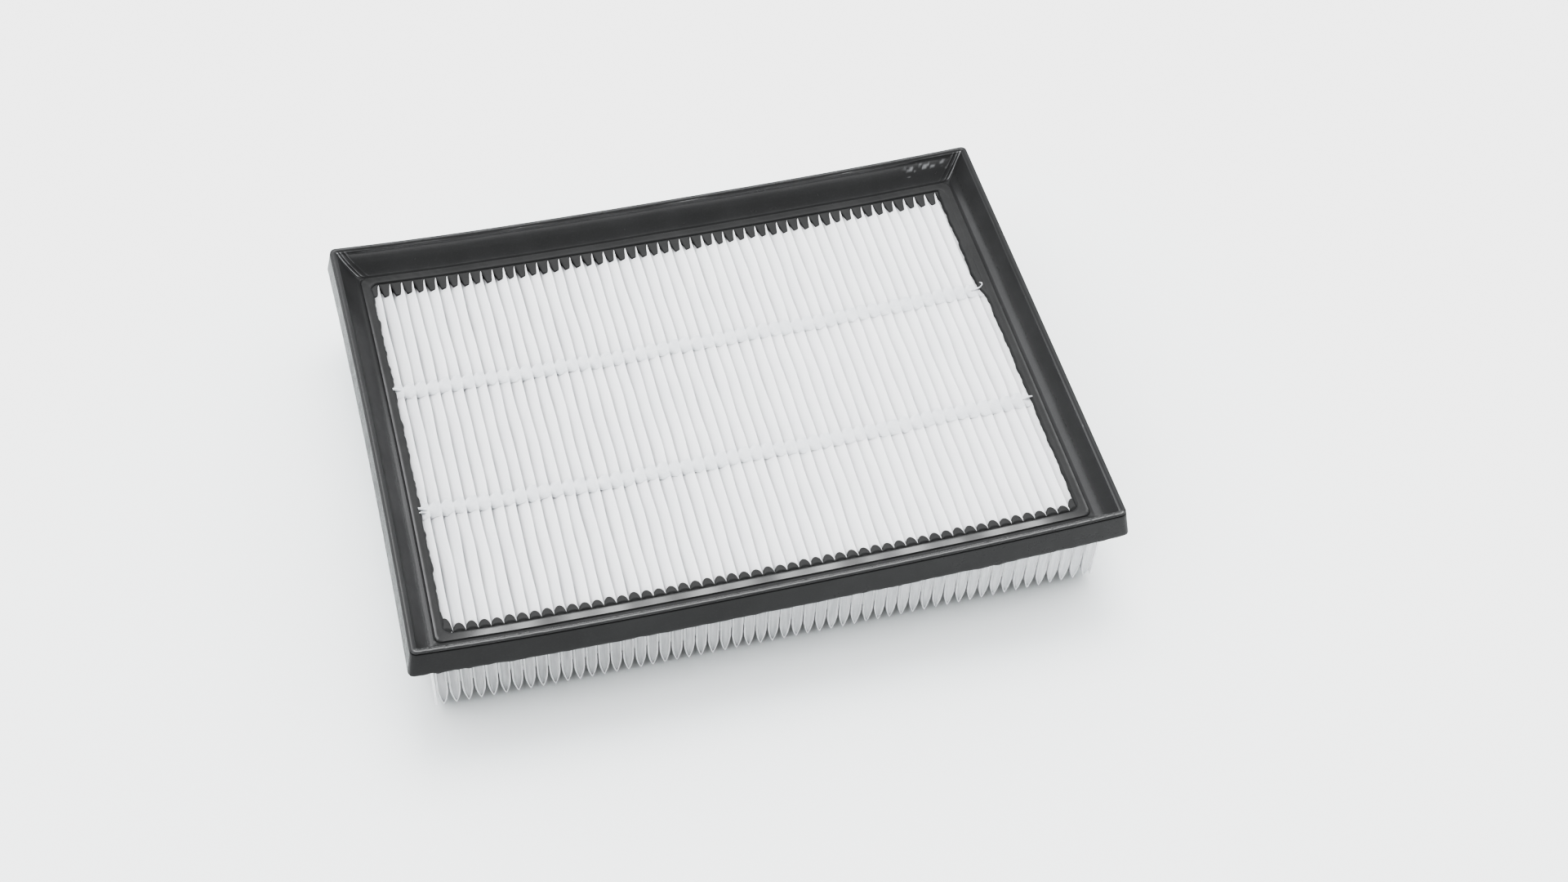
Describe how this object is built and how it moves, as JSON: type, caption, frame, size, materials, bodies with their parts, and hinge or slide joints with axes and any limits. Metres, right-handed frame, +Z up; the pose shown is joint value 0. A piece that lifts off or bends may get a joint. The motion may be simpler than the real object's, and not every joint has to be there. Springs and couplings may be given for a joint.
{
  "type": "panel air filter",
  "caption": "Rectangular panel air filter: black soft moulded sealing frame round a deep pack of white nonwoven pleats held by hot-melt beads.",
  "frame": {"origin": "middle of the base, in the plane that the filter rests on", "axes": "+X along the long side, +Y along the pleats, +Z up from the pleat tips towards the sealing rim"},
  "size_m": [0.286, 0.214, 0.048],
  "materials": {
    "seal_foam": "satin moulded skin of soft polyurethane foam",
    "filter_media": "matte fibrous nonwoven, folded into pleats",
    "hot_melt": "set hot-melt adhesive, milky and slightly waxy"
  },
  "bodies": {
    "root": {"seal_frame": "seal_foam", "pleated_media": "filter_media", "separator_bead_upper_front": "hot_melt", "separator_bead_upper_rear": "hot_melt", "separator_bead_lower_front": "hot_melt", "separator_bead_lower_rear": "hot_melt", "edge_seal_front": "hot_melt", "edge_seal_rear": "hot_melt"}
  },
  "joints": []
}
